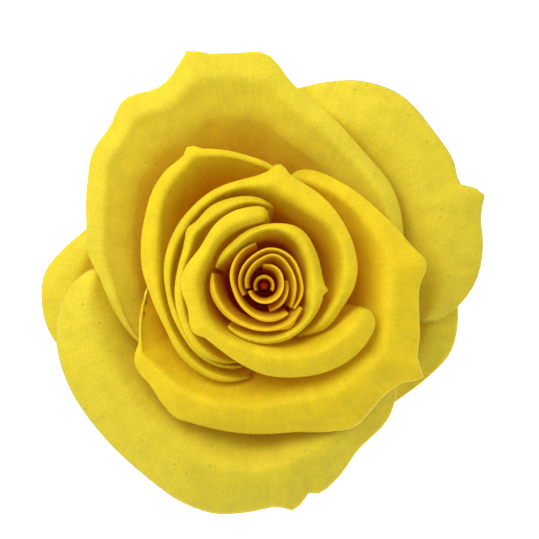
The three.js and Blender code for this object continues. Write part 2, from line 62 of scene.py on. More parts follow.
# Each petal: name, claw = place on the dome (0 centre, 1 rim) at its first, middle and last
# bearing, belly = [share of the outward run, share of the rise] at the bulge of its wall, with a
# third value, how sharply the crest stands up, where it isn't CREST_CURL, thick,
# rows = [bearing, crest radius, crest height, lip reach, lip drop].
PETALS = [
  { "name": "heart_petal", "claw": [0.06, 0.06, 0.06], "belly": [0.7, 0.6], "thick": 0.26, "rows": [
    [-30, 1.05, 37.9, 0.3, -0.05], [90, 1.1, 38.8, 0.35, -0.05], [210, 1.05, 37.7, 0.3, -0.05]] },
  { "name": "petal_01", "claw": [0.125, 0.125, 0.125], "belly": [0.66, 0.7], "thick": 0.26, "rows": [
    [-162, 1.85, 39.5, 0.35, -0.05], [-118, 1.9, 40.8, 0.35, -0.05], [-60, 2.05, 41.2, 0.35, -0.05],
    [9, 2.3, 41.2, 0.35, -0.05], [53, 2.65, 41.1, 0.35, -0.05], [94, 2.55, 39.2, 0.35, -0.05]] },
  { "name": "petal_02", "claw": [0.25, 0.22, 0.19], "belly": [0.64, 0.72], "thick": 0.28, "rows": [
    [-40, 4.25, 39.2, 0.35, -0.05], [-11, 3.95, 41.2, 0.35, -0.05], [33, 3.9, 41.5, 0.35, -0.05],
    [70, 4.1, 41.5, 0.35, -0.05], [99, 3.3, 41.4, 0.35, -0.05], [137, 2.55, 41.2, 0.35, -0.05],
    [188, 2.05, 39.8, 0.35, -0.05]] },
  { "name": "petal_03", "claw": [0.33, 0.29, 0.255], "belly": [0.66, 0.72], "thick": 0.28, "rows": [
    [-38, 4.7, 39.5, 0.35, -0.05], [-10, 4.85, 41.1, 0.35, -0.05], [15, 4.7, 41.4, 0.35, -0.05],
    [50, 4.95, 41.4, 0.35, -0.05], [80, 4.75, 41.4, 0.35, -0.05], [110, 3.95, 41.4, 0.35, -0.05],
    [146, 3.35, 41.2, 0.35, -0.05], [205, 2.7, 39.8, 0.35, -0.05]] },
  { "name": "petal_04", "claw": [0.19, 0.187, 0.183], "belly": [0.64, 0.72], "thick": 0.28, "rows": [
    [-78, 3.1, 38.5, 0.35, -0.05], [-45, 3.05, 40, 0.35, -0.05], [-5, 2.9, 40.1, 0.35, -0.05],
    [14, 2.85, 38.6, 0.35, -0.05]] },
  { "name": "petal_05", "claw": [0.375, 0.34, 0.305], "belly": [0.68, 0.72], "thick": 0.28, "rows": [
    [100, 5.45, 40.1, 0.35, -0.05], [123, 5.15, 41.5, 0.35, -0.05], [153, 4.45, 41.7, 0.45, 0.15],
    [190, 3.65, 41.8, 0.45, 0.15], [232, 3.6, 41.8, 0.5, 0.15], [281, 4.15, 41.7, 0.6, 0.15],
    [312, 4.55, 40.3, 0.35, -0.05]] },
  { "name": "petal_06", "claw": [0.415, 0.4, 0.385], "belly": [0.68, 0.72], "thick": 0.28, "rows": [
    [165, 6.7, 40.4, 0.35, -0.05], [186, 6.2, 41.8, 0.8, 0.6], [212, 5.7, 42.1, 0.8, 0.6],
    [245, 5.4, 42.2, 0.5, 0.15], [288, 5.55, 42.2, 0.5, 0.15], [302, 5.6, 42.1, 0.9, 0.7],
    [316, 5.55, 42, 0.45, 0.15], [331, 5.45, 40.6, 0.35, -0.05]] },
  { "name": "petal_07", "claw": [0.46, 0.455, 0.45], "belly": [0.7, 0.72], "thick": 0.3, "rows": [
    [-132, 6.9, 40.4, 0.3, 0.2], [-110, 6.85, 42.3, 0.55, 0.5], [-73, 6.9, 42.6, 0.7, 0.6],
    [-36, 6.85, 42.6, 0.8, 0.6], [-24, 6.6, 42.5, 1.1, 0.8],
    [-13, 6.1, 42.5, 1.7, 0.9], [-8, 5.95, 42.5, 1.9, 1],
    [-4, 5.9, 42.5, 2.5, 1.1], [0, 5.9, 42.5, 2.1, 1.1], [10, 5.9, 42.5, 1.9, 1.1],
    [35, 6.5, 42.4, 1.7, 1], [58, 7.3, 42.3, 1.5, 0.9], [80, 7.4, 42.3, 0.9, 0.7],
    [99, 6.8, 42.3, 1, 0.7], [124, 6.1, 42.3, 1, 0.7], [145, 6.2, 42.1, 0.8, 0.6],
    [160, 6.6, 40.4, 0.2, 0.3]] },
  { "name": "petal_08", "claw": [0.54, 0.556, 0.602], "belly": [0.72, 0.72], "thick": 0.34, "rows": [
    [85, 8.9, 40.4, 0.5, 0.3], [90, 8.6, 42.1, 1.7, 0.7], [99, 8.4, 42.7, 2.1, 0.9],
    [125, 8.4, 43.2, 2, 1.1], [150, 8.2, 43.3, 1.5, 0.9], [175, 8.3, 43.3, 2.6, 1.4],
    [196, 8.3, 43.3, 2.1, 1.2], [213, 8.3, 43.3, 2.7, 1.5], [222, 8.25, 43.3, 1.9, 1.2],
    [245, 7.9, 43.2, 2.4, 1.3], [271, 8.1, 43.1, 3.5, 2], [296, 9.2, 42.9, 3.9, 2.3],
    [320, 10.6, 42.4, 4.2, 2.5], [334, 11.7, 42, 3.6, 2.1], [342, 12.5, 41.2, 2.7, 1.6],
    [348, 13.2, 39.6, 0.6, 0.4]] },
  { "name": "petal_09", "claw": [0.605, 0.618, 0.648], "belly": [0.74, 0.72], "thick": 0.34, "rows": [
    [83, 10.3, 39, 0.2, 0.3], [92, 10.6, 40.3, 0.9, 0.5], [102, 10.9, 40.8, 1.1, 0.6],
    [122, 10.7, 40.9, 1.8, 0.9], [136, 10.8, 40.9, 1.5, 0.8], [143, 10.8, 40.9, 1.8, 0.9],
    [150, 10.6, 40.9, 1.4, 0.8], [158, 10.4, 41, 1.2, 0.7], [184, 10.5, 41, 1.2, 0.7],
    [205, 10.8, 40.9, 1.1, 0.7], [225, 11.2, 40.5, 0.9, 0.6], [240, 11, 38.6, 0.5, 0.4],
    [254, 10.2, 35, 0.2, 0.2]] },
  { "name": "petal_10", "claw": [0.522, 0.66, 0.69], "belly": [0.73, 0.72], "thick": 0.36, "rows": [
    [-58, 7.6, 37.8, 0.3, 0.2], [-48, 7.9, 39.4, 0.7, 0.4], [-34, 8.5, 40.8, 1.3, 0.7],
    [-16, 9.1, 41.4, 1.5, 0.8], [0, 9.8, 41.7, 2, 1.1], [14, 10.5, 41.8, 2, 1.2],
    [36, 11.1, 41.7, 2.1, 1.3], [60, 11, 41.5, 3.1, 1.6], [76, 11.7, 41.2, 3.1, 1.5],
    [83, 12.2, 41, 3.9, 1.5], [88, 12.5, 40.8, 2.5, 1.2], [96, 12.8, 40.6, 1.6, 1],
    [120, 13.1, 40.3, 1, 0.7], [160, 12.4, 40.1, 1.1, 0.7], [200, 11.8, 39.9, 0.7, 0.5],
    [222, 11.9, 39.3, 0.6, 0.5], [240, 11.7, 37.6, 0.4, 0.3], [255, 10.9, 34.6, 0.2, 0.2]] },
  { "name": "petal_11", "claw": [0.75, 0.76, 0.77], "belly": [0.76, 0.74], "thick": 0.38, "rows": [
    [79, 14.1, 35.6, 0.2, 0.2], [85, 14.9, 36.9, 0.7, 0.3], [98, 16.4, 38.3, 0.9, 0.4],
    [110, 18, 39, 1, 0.4], [115, 18.5, 39.2, 1.3, 0.5], [118, 18.8, 39.2, 2.1, 0.5],
    [122, 18.4, 39.2, 1.6, 0.5], [130, 17.9, 39.1, 1.9, 0.7], [140, 16.8, 39, 2.3, 1],
    [153, 14.9, 39, 2.8, 1.4], [169, 13.7, 39, 2.7, 1.6], [185, 13.4, 38.9, 1.5, 1],
    [202, 13.1, 38.7, 1, 0.8], [225, 13.3, 38.3, 0.9, 0.7], [242, 13.1, 37.4, 0.7, 0.5],
    [253, 12.6, 36.2, 0.4, 0.3], [262, 11.9, 34.4, 0.2, 0.15]] },
  { "name": "petal_12", "claw": [0.828, 0.826, 0.815], "belly": [0.7, 0.76], "thick": 0.42, "rows": [
    [180, 15.1, 33, 0.15, 0.15], [194, 16.5, 35, 0.3, 0.3], [205, 17.6, 36.4, 0.6, 0.4],
    [209, 17.8, 36.8, 1.7, 0.9], [214, 17.1, 37, 2.9, 1.6], [221, 16.8, 37.2, 3, 1.8],
    [229, 16.2, 37.6, 4.2, 2.6], [236, 15.8, 37.9, 5, 3.2], [243, 15.4, 38.1, 4.9, 3.4],
    [258, 14.6, 38.3, 5, 3.8], [281, 13.9, 38.5, 5.6, 4], [294, 14, 38.5, 7, 4.4],
    [303, 14.5, 38.5, 7.5, 4.6], [310, 14.6, 38.5, 7, 4.4], [319, 15.1, 38.5, 6.4, 4],
    [326, 15.5, 38.4, 7, 4], [330, 15.8, 38.3, 8.3, 4.2], [334, 15.5, 38.3, 6.9, 3.8],
    [341, 15.4, 38.3, 6.1, 3.4], [350, 15, 38.3, 5.6, 3], [360, 15, 38.3, 5.4, 2.8],
    [368, 15.3, 38.2, 6.2, 2.6], [375, 15.3, 38, 4.8, 2.2], [383, 15.1, 37.7, 3.9, 1.8],
    [393, 14.9, 37.4, 3.1, 1.4], [412, 14.6, 36.7, 2.4, 1.1], [424, 14.4, 35.9, 2.2, 1],
    [432, 14.2, 34.9, 1.8, 0.8], [438, 13.9, 33.8, 0.6, 0.4]] },
  { "name": "petal_13", "claw": [0.902, 0.895, 0.888], "belly": [0.78, 0.86, 0.05], "thick": 0.42, "rows": [
    [-14, 16.8, 29.6, 0.5, 0.4], [5, 17.4, 31.8, 1.2, 0.8], [20, 17.6, 33.2, 2, 1.3],
    [37, 18.6, 34, 2.8, 1.8], [55, 19.4, 34.4, 2.9, 1.8], [73, 21.4, 34.9, 3.4, 1.6],
    [82, 23, 35.1, 4, 1.6], [89, 25.6, 35.3, 4.9, 1.6], [97, 26.5, 35.4, 4.3, 1.4],
    [104, 27, 35.5, 4.4, 1.3], [108, 27.4, 35.5, 5.1, 0.8], [112, 26.6, 35.4, 4, 1.5],
    [118, 25.8, 35.2, 3.6, 1.5], [127, 26.6, 35.1, 4.1, 1.6], [134, 25.6, 35, 3.7, 1.6],
    [142, 25, 34.9, 3.7, 1.6], [150, 23.2, 34.7, 3.6, 1.5], [160, 21.6, 34.5, 3.2, 1.4],
    [170, 20.6, 34.4, 2.9, 1.3], [178, 19.6, 34.2, 1.9, 1], [190, 18.8, 33.2, 1, 0.6],
    [200, 18.1, 32.3, 0.6, 0.4], [208, 17.3, 31.2, 0.3, 0.3]] },
  { "name": "petal_14", "claw": [0.935, 0.935, 0.935], "belly": [0.76, 0.72], "thick": 0.44, "rows": [
    [174, 21.8, 29.6, 0.8, 0.4], [180, 21.6, 31.4, 3.8, 1.6], [188, 21.4, 32.4, 6, 2.8],
    [200, 20.9, 33, 7.7, 4], [220, 20.9, 33.2, 8.1, 4.8], [240, 21.1, 33, 8.7, 5.4],
    [256, 21.6, 32.8, 9.4, 6], [266, 22, 32.6, 8.1, 5.6], [273, 21.6, 32.6, 7.8, 5.2],
    [278.5, 20.8, 32.6, 9.3, 5], [281.5, 20.4, 32.6, 7.8, 5.2], [285, 20.2, 32.6, 8.2, 5.2],
    [291, 19.8, 32.6, 7.4, 4.8], [300, 19.2, 32.4, 5.8, 4], [315, 18.8, 31.6, 5, 3.2],
    [330, 18.6, 28.6, 1.6, 1.2]] },
  { "name": "petal_15", "claw": [0.995, 0.995, 0.995], "belly": [0.7, 0.74], "thick": 0.44, "rows": [
    [142, 20.6, 22.2, 1.6, 0.8], [156, 21.6, 24.8, 2, 0.9], [163, 21.8, 25.8, 3, 1.1],
    [169, 22.4, 26.4, 4.5, 1.5], [176, 22.8, 26.7, 6.2, 2], [184, 23, 26.7, 6.5, 2.1],
    [193, 22.8, 26.4, 6.2, 2.1], [205, 22.4, 25.4, 4, 1.5], [218, 22, 23, 1.4, 0.8]] },
  { "name": "petal_16", "claw": [0.95, 0.95, 0.95], "belly": [0.72, 0.8, 0.1], "thick": 0.44, "rows": [
    [-13, 21, 26.6, 2, 1], [-6, 21.4, 28.2, 4.6, 1.6], [2, 21.8, 29.4, 6.5, 2.2],
    [10, 22, 30.2, 7.5, 2.6], [18, 22.2, 30.8, 8, 2.8], [23.5, 22.4, 31, 9.2, 2.2],
    [27, 22.2, 31, 7, 2.7], [34, 22.4, 31, 7.7, 3], [42, 22.6, 31, 7.9, 3.1],
    [54, 22.8, 31, 8.3, 3.2], [63, 22.4, 30.8, 7.8, 3], [70, 22, 30.4, 6.9, 2.6],
    [80, 22, 29.2, 4.6, 1.8], [90, 22.6, 27.4, 2.2, 1], [98, 23, 26, 0.8, 0.6]] },
  { "name": "petal_17", "claw": [0.995, 0.995, 0.995], "belly": [0.7, 0.74], "thick": 0.44, "rows": [
    [-64, 19, 21, 1.2, 0.6], [-50, 19.4, 23.4, 3, 1.2], [-38, 19.8, 24.6, 4, 1.6],
    [-30, 20, 25, 5, 1.9], [-20, 20.4, 25.4, 6, 2.2], [-10, 20.8, 25, 5.4, 2],
    [2, 21.6, 24.2, 3.6, 1.4], [16, 22.4, 22.2, 1.4, 0.8]] },
]


# Bearing of each sepal and how far out its tip comes down.
SEPALS = [[12, 17.6], [84, 16.8], [157, 18.2], [228, 17.2], [300, 17.9]]
SEPAL_THICK = 0.7
# [share of the length, half width]
SEPAL_OUTLINE = [[0, 2.3], [0.2, 3.3], [0.45, 3], [0.75, 1.7], [1, 0.45]]
SEPAL_LENGTH = 18

HEART_PETALS = ("petal_01", "petal_02", "petal_03", "petal_04", "petal_05", "petal_06")
OUTER_PETALS = ("petal_13", "petal_14", "petal_15", "petal_16", "petal_17")
COLUMN_STEP = 2.5  # degrees between the columns of a petal's mesh
# How many rings each stretch of a petal's profile has, from claw to margin.
RING_COUNTS = (3, 9, 10, 8, 11)
LIP_RINGS = 8  # rings at the margin on which a petal's width is measured
# Size and depth of the slow unevenness of a petal.
OUTER_RIPPLE = (9, 0.5)
INNER_RIPPLE = (5, 0.22)
HEART_RIPPLE = (5, 0.06)
# Share of the frame's thickness that a petal is drawn with.
SKIN_SHARE = 0.8
HEART_SKIN_SHARE = 0.5


def mix(a, b, t):
    return a + (b - a) * t


def smooth(low, high, x):
    t = min(1.0, max(0.0, (x - low) / (high - low)))
    return t * t * (3 - 2 * t)


def through(knots, x):
    """A smooth curve through knots, [[x, y1, y2, ...], ...], read at x."""
    last = len(knots) - 1
    i = 0
    while i < last - 1 and x > knots[i + 1][0]:
        i += 1
    h = knots[i + 1][0] - knots[i][0]
    t = min(1.0, max(0.0, (x - knots[i][0]) / h))

    def slope(k, c):
        a = max(0, k - 1)
        b = min(last, k + 1)
        return (knots[b][c] - knots[a][c]) / (knots[b][0] - knots[a][0])

    out = []
    for c in range(1, len(knots[0])):
        m0 = slope(i, c) * h
        m1 = slope(i + 1, c) * h
        out.append(
            (2 * t**3 - 3 * t**2 + 1) * knots[i][c]
            + (t**3 - 2 * t**2 + t) * m0
            + (3 * t**2 - 2 * t**3) * knots[i + 1][c]
            + (t**3 - t**2) * m1
        )
    return out


# ---------------------------------------------------------------- petals


def profile(petal, bearing):
    """Knots of [distance, radius, height] from a petal's claw to its margin at one bearing."""
    rows = petal["rows"]
    radius, height, reach, drop = through(rows, bearing)
    share = (bearing - rows[0][0]) / (rows[-1][0] - rows[0][0])
    claw = through([[i / 2, c] for i, c in enumerate(petal["claw"])], share)[0]
    rise = DOME_TOP_Z - DOME_RIM_Z
    lean = math.atan2(DOME_RADIUS, 2 * rise * claw)
    out = (math.cos(lean), math.sin(lean))
    r0 = DOME_RADIUS * claw + out[0] * STAND_OFF
    z0 = DOME_TOP_Z - rise * claw**2 + out[1] * STAND_OFF
    span = math.hypot(radius - r0, height - z0)
    curl = petal["belly"][2] if len(petal["belly"]) > 2 else CREST_CURL
    roll = LEAST_ROLL + curl * min(reach, LONGEST_ROLL)
    points = [
        (r0, z0),
        (r0 + out[0] * span * ROOT_SHARE, z0 + out[1] * span * ROOT_SHARE),
        (mix(r0, radius, petal["belly"][0]), mix(z0, height, petal["belly"][1])),
        (radius, height - roll),
        (radius + reach * CREST_SHARE, height),
        (radius + reach, height - drop),
    ]
    knots = []
    along = 0
    for i, p in enumerate(points):
        if i:
            along += math.dist(p, points[i - 1])
        knots.append([along, *p])
    return knots


def ring_places():
    """Places along the profile, in knots from the claw, where a petal's mesh has its rings."""
    places = [0.0]
    for k, count in enumerate(RING_COUNTS):
        places += [k + (n + 1) / count for n in range(count)]
    return places


def petal_sheet(petal):
    """The middle surface of a petal: points, and for each its depth under the crest, its
    distance along the petal and its distance across it."""
    first, last = petal["rows"][0][0], petal["rows"][-1][0]
    columns = round((last - first) / COLUMN_STEP) + 1
    places = ring_places()
    points = np.zeros((columns, len(places), 3))
    depth = np.zeros((columns, len(places)))
    along = np.zeros((columns, len(places)))
    for i in range(columns):
        bearing = mix(first, last, i / (columns - 1))
        knots = profile(petal, bearing)
        crest = knots[CREST_KNOT][2]
        a = math.radians(bearing)
        for j, place in enumerate(places):
            k = min(len(knots) - 2, int(place))
            s = mix(knots[k][0], knots[k + 1][0], place - k)
            r, z = through(knots, s)
            points[i, j] = (r * math.cos(a), r * math.sin(a), z)
            along[i, j] = s
            depth[i, j] = max(0.0, crest - z) if place < CREST_KNOT else 0.0
    across = np.zeros((columns, len(places)))
    step = np.linalg.norm(np.diff(points, axis=0), axis=2)
    widest = step[:, -LIP_RINGS:].mean(axis=1)
    across[1:] = np.cumsum(widest)[:, None]
    return points, depth, along, across


def normals_of(points):
    a = np.gradient(points, axis=0)
    b = np.gradient(points, axis=1)
    n = np.cross(a, b)
    return n / np.maximum(1e-9, np.linalg.norm(n, axis=2, keepdims=True))


def ripple(points, along, seed, size, amount):
    """Slow unevenness of a petal, none at the claw and most at the margin."""
    out = np.zeros(points.shape[:2])
    span = along.max(axis=1)
    for i in range(points.shape[0]):
        for j in range(points.shape[1]):
            p = Vector(points[i, j]) / size + Vector((seed * 7.3, seed * 3.1, seed * 5.7))
            rise = smooth(0.35, 0.95, along[i, j] / span[i])
            out[i, j] = noise.noise(p) * amount * rise
    return out


def closed_body(name, points, skin, layers):
    """A closed body either side of a grid of points. Skin is half its thickness at each point,
    0 all round the edge, where the two sides share their vertices. Layers are the values that
    the materials read, each a grid of its own. Front is the side away from the bloom's axis,
    and the value called side is 0 there, 1 on the back and 0.5 along the edge."""
    columns, rings = points.shape[:2]
    n = normals_of(points)
    edge = np.zeros((columns, rings), bool)
    edge[0] = edge[-1] = True
    edge[:, 0] = edge[:, -1] = True
    front = (points + n * skin[..., None]).reshape(-1, 3)
    back = (points - n * skin[..., None]).reshape(-1, 3)
    inner = np.flatnonzero(~edge.reshape(-1))
    vertices = np.vstack([front, back[inner]])
    twin = np.arange(columns * rings)
    twin[inner] = columns * rings + np.arange(len(inner))
    faces = []
    for i in range(columns - 1):
        for j in range(rings - 1):
            k = i * rings + j
            quad = (k, k + rings, k + rings + 1, k + 1)
            faces.append(quad)
            faces.append(tuple(int(twin[q]) for q in reversed(quad)))
    mesh = bpy.data.meshes.new(name)
    mesh.from_pydata((vertices * MM).tolist(), [], faces)
    mesh.update()
    source = np.concatenate([np.arange(columns * rings), inner])
    for key, grid in layers.items():
        values = grid.reshape(-1)[source]
        layer = mesh.attributes.new(key, "FLOAT", "POINT")
        layer.data.foreach_set("value", values.astype(np.float32))
    side = np.concatenate([np.where(edge.reshape(-1), 0.5, 0.0), np.ones(len(inner))])
    layer = mesh.attributes.new("side", "FLOAT", "POINT")
    layer.data.foreach_set("value", side.astype(np.float32))
    uv = mesh.uv_layers.new(name="Fan")
    corners = np.zeros(len(mesh.loops), np.int32)
    mesh.loops.foreach_get("vertex_index", corners)
    u = layers["across"].reshape(-1)[source][corners]
    v = layers["along"].reshape(-1)[source][corners]
    uv.data.foreach_set("uv", np.column_stack([u, v]).astype(np.float32).reshape(-1))
    mesh.polygons.foreach_set("use_smooth", [True] * len(mesh.polygons))
    piece = bpy.data.objects.new(name, mesh)
    bpy.context.scene.collection.objects.link(piece)
    return piece


def rounded_skin(along, across, thick):
    """Half the thickness: even over the petal, rounded off to nothing at its edges."""
    span = along.max(axis=1, keepdims=True)
    to_margin = span - along
    ends = np.minimum(across, across.max() - across)
    near = np.minimum(np.minimum(to_margin, along), ends)
    return thick / 2 * np.sqrt(np.clip(near / (thick * 0.6), 0, 1))


def petal_piece(petal, seed, material):
    points, depth, along, across = petal_sheet(petal)
    outer = petal["name"] in OUTER_PETALS
    heart = petal["name"] in HEART_PETALS or petal["name"] == "heart_petal"
    size, amount = HEART_RIPPLE if heart else OUTER_RIPPLE if outer else INNER_RIPPLE
    shift = ripple(points, along, seed, size, amount)
    points = points + normals_of(points) * shift[..., None]
    share = HEART_SKIN_SHARE if heart else SKIN_SHARE
    skin = rounded_skin(along, across, petal["thick"] * share)
    to_rim = along.max(axis=1, keepdims=True) - along
    layers = {"depth": depth, "along": along, "across": across, "rim": to_rim}
    piece = closed_body(petal["name"] + "_petal", points, skin, layers)
    piece.data.materials.append(material)
    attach(piece, "root")
    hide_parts(petal["name"])
    return piece


# ---------------------------------------------------------------- materials


def add_node(tree, kind, **values):
    node = tree.nodes.new(kind)
    for key, value in values.items():
        if key in node.inputs:
            node.inputs[key].default_value = value
        else:
            setattr(node, key, value)
    return node


def blend_node(tree, factor, a, b, kind="MIX"):
    """A colour mix; a and b are sockets or colours."""
    node = add_node(tree, "ShaderNodeMix", data_type="RGBA", blend_type=kind)
    for socket, value in ((node.inputs[0], factor), (node.inputs[6], a), (node.inputs[7], b)):
        if isinstance(value, bpy.types.NodeSocket):
            tree.links.new(value, socket)
        else:
            socket.default_value = value
    return node.outputs[2]


def spread(tree, value, low, high, out_low=0.0, out_high=1.0):
    """A value mapped smoothly from low..high to out_low..out_high."""
    node = add_node(tree, "ShaderNodeMapRange", interpolation_type="SMOOTHSTEP")
    tree.links.new(value, node.inputs["Value"])
    for key, number in (("From Min", low), ("From Max", high), ("To Min", out_low),
                        ("To Max", out_high)):
        node.inputs[key].default_value = number
    return node.outputs["Result"]


def sums(tree, operation, a, b):
    node = add_node(tree, "ShaderNodeMath", operation=operation)
    for socket, value in zip(node.inputs, (a, b)):
        if isinstance(value, bpy.types.NodeSocket):
            tree.links.new(value, socket)
        else:
            socket.default_value = value
    return node.outputs[0]


def noise_node(tree, vector, scale, detail=3.0, stretch=(1, 1, 1)):
    place = add_node(tree, "ShaderNodeMapping")
    place.inputs["Scale"].default_value = stretch
    tree.links.new(vector, place.inputs["Vector"])
    node = add_node(tree, "ShaderNodeTexNoise", Scale=scale, Detail=detail)
    tree.links.new(place.outputs[0], node.inputs["Vector"])
    return node.outputs["Fac"]


def new_group(name, inputs, outputs):
    group = bpy.data.node_groups.new(name, "ShaderNodeTree")
    for key, kind, value in inputs:
        socket = group.interface.new_socket(key, in_out="INPUT", socket_type=kind)
        if value is not None:
            socket.default_value = value
    for key, kind in outputs:
        group.interface.new_socket(key, in_out="OUTPUT", socket_type=kind)
    enter = group.nodes.new("NodeGroupInput")
    leave = group.nodes.new("NodeGroupOutput")
    return group, enter, leave


def petal_skin_group():
    """Petal tissue. Its front, away from the bloom's axis, is pale at the lip, golden on the wall
    and russet low down, partly its own deeper colour near the base and partly painted shade in the
    recesses between petals, paler still along its rim, a painted sheen, and carries a painted glow
    low down that stands in for light bounced between the petals; its back is one plain colour.
    Both have faint veins, soft mottling, a crinkled velvety grain and dry specks."""
    group, enter, leave = new_group(
        "petal_skin",
        [("Place", "NodeSocketVector", None), ("Fan", "NodeSocketVector", None),
         ("Depth", "NodeSocketFloat", 0.0), ("Side", "NodeSocketFloat", 0.0),
         ("Rim", "NodeSocketFloat", 5.0),
         ("Lip", "NodeSocketColor", (0.9, 0.75, 0.08, 1)),
         ("Wall", "NodeSocketColor", (0.8, 0.5, 0.02, 1)),
         ("Deep", "NodeSocketColor", (0.4, 0.1, 0.01, 1)),
         ("Back", "NodeSocketColor", (0.8, 0.7, 0.15, 1)),
         ("Pale", "NodeSocketColor", (0.9, 0.8, 0.2, 1)),
         ("Wall depth", "NodeSocketFloat", 5.0), ("Deep depth", "NodeSocketFloat", 14.0),
         ("Rim width", "NodeSocketFloat", 2.0)],
        [("Color", "NodeSocketColor"), ("Roughness", "NodeSocketFloat"),
         ("Height", "NodeSocketFloat"), ("Painted recess glow", "NodeSocketColor")])
    place, fan = enter.outputs["Place"], enter.outputs["Fan"]
    mottle = noise_node(group, place, 420, 4)
    patch = noise_node(group, place, 95, 2)
    veins = noise_node(group, fan, 1.0, 3, stretch=(1.7, 0.12, 1))
    crinkle = noise_node(group, place, 1500, 3)
    grain = noise_node(group, place, 4600, 2)
    speck = add_node(group, "ShaderNodeTexVoronoi", Scale=330.0)
    group.links.new(place, speck.inputs["Vector"])
    uneven = sums(group, "SUBTRACT", sums(group, "MULTIPLY", patch, 0.5), 0.25)
    depth = enter.outputs["Depth"]
    to_wall = sums(group, "DIVIDE", depth, enter.outputs["Wall depth"])
    to_wall = sums(group, "ADD", to_wall, uneven)
    to_deep = sums(group, "DIVIDE", depth, enter.outputs["Deep depth"])
    rim = sums(group, "DIVIDE", enter.outputs["Rim"], enter.outputs["Rim width"])
    # Painted sheen: paler towards the rim.
    lip = blend_node(group, spread(group, rim, 0.0, 1.0, 1.0, 0.0), enter.outputs["Lip"],
                     enter.outputs["Pale"])
    # Darker down the wall and darkest deep down: partly the petal's own deeper colour near its base, partly
    # painted shade in the recesses between petals.
    wall = blend_node(group, spread(group, to_wall, 0.0, 1.0), lip, enter.outputs["Wall"])
    front = blend_node(group, spread(group, to_deep, 0.35, 1.0), wall, enter.outputs["Deep"])
    both = blend_node(group, enter.outputs["Side"], front, enter.outputs["Back"])
    tone = sums(group, "MULTIPLY", spread(group, mottle, 0.3, 0.7, 0.95, 1.04),
                spread(group, veins, 0.3, 0.65, 0.97, 1.015))
    tone = sums(group, "MULTIPLY", tone, spread(group, grain, 0.3, 0.7, 0.93, 1.06))
    dry = spread(group, speck.outputs["Distance"], 0.05, 0.1, 0.82, 1.0)
    tone = sums(group, "MULTIPLY", tone, dry)
    toned = add_node(group, "ShaderNodeVectorMath", operation="SCALE")
    group.links.new(both, toned.inputs[0])
    group.links.new(tone, toned.inputs["Scale"])
    group.links.new(toned.outputs[0], leave.inputs["Color"])
    # Painted light: a glow on the front, growing with depth into the recesses, in the front colour; it
    # stands in for light bounced between the petals.
    on_front = sums(group, "SUBTRACT", 1.0, enter.outputs["Side"])
    recess = sums(group, "MULTIPLY", spread(group, to_wall, 0.1, 1.3), on_front)
    glow = blend_node(group, recess, (0, 0, 0, 1), front)
    group.links.new(glow, leave.inputs["Painted recess glow"])
    rough = spread(group, mottle, 0.3, 0.7, 0.52, 0.68)
    group.links.new(rough, leave.inputs["Roughness"])
    height = sums(group, "ADD", sums(group, "MULTIPLY", veins, 0.3), crinkle)
    height = sums(group, "ADD", sums(group, "MULTIPLY", grain, 0.25), height)
    group.links.new(height, leave.inputs["Height"])
    return group


def petal_material(name, group, colours, depths, glow, recess):
    """A petal finish: the skin's colours, the share of light that passes through the tissue
    (glow), and the strength of a painted glow that stands in for the light gathering between
    neighbouring petals (recess)."""
    material = bpy.data.materials.new(name)
    material.use_nodes = True
    tree = material.node_tree
    shader = tree.nodes["Principled BSDF"]
    skin = add_node(tree, "ShaderNodeGroup", node_tree=group)
    place = add_node(tree, "ShaderNodeTexCoord")
    fan = add_node(tree, "ShaderNodeUVMap", uv_map="Fan")
    depth = add_node(tree, "ShaderNodeAttribute", attribute_name="depth")
    side = add_node(tree, "ShaderNodeAttribute", attribute_name="side")
    rim = add_node(tree, "ShaderNodeAttribute", attribute_name="rim")
    links = tree.links
    links.new(place.outputs["Object"], skin.inputs["Place"])
    links.new(fan.outputs["UV"], skin.inputs["Fan"])
    links.new(depth.outputs["Fac"], skin.inputs["Depth"])
    links.new(side.outputs["Fac"], skin.inputs["Side"])
    links.new(rim.outputs["Fac"], skin.inputs["Rim"])
    for key, colour in zip(("Lip", "Wall", "Deep", "Back", "Pale"), colours):
        skin.inputs[key].default_value = (*colour, 1)
    skin.inputs["Wall depth"].default_value = depths[0]
    skin.inputs["Deep depth"].default_value = depths[1]
    skin.inputs["Rim width"].default_value = depths[2]
    bump = add_node(tree, "ShaderNodeBump", Strength=0.3, Distance=0.00012)
    links.new(skin.outputs["Height"], bump.inputs["Height"])
    links.new(bump.outputs[0], shader.inputs["Normal"])
    links.new(skin.outputs["Color"], shader.inputs["Base Color"])
    links.new(skin.outputs["Roughness"], shader.inputs["Roughness"])
    # Painted light: the recess glow is emitted at the recess strength.
    links.new(skin.outputs["Painted recess glow"], shader.inputs["Emission Color"])
    shader.inputs["Emission Strength"].default_value = recess
    shader.inputs["Specular IOR Level"].default_value = 0.08
    through_light = add_node(tree, "ShaderNodeBsdfTranslucent")
    links.new(skin.outputs["Color"], through_light.inputs["Color"])
    links.new(bump.outputs[0], through_light.inputs["Normal"])
    both = add_node(tree, "ShaderNodeMixShader")
    both.inputs[0].default_value = glow
    links.new(shader.outputs[0], both.inputs[1])
    links.new(through_light.outputs[0], both.inputs[2])
    links.new(both.outputs[0], tree.nodes["Material Output"].inputs["Surface"])
    return material


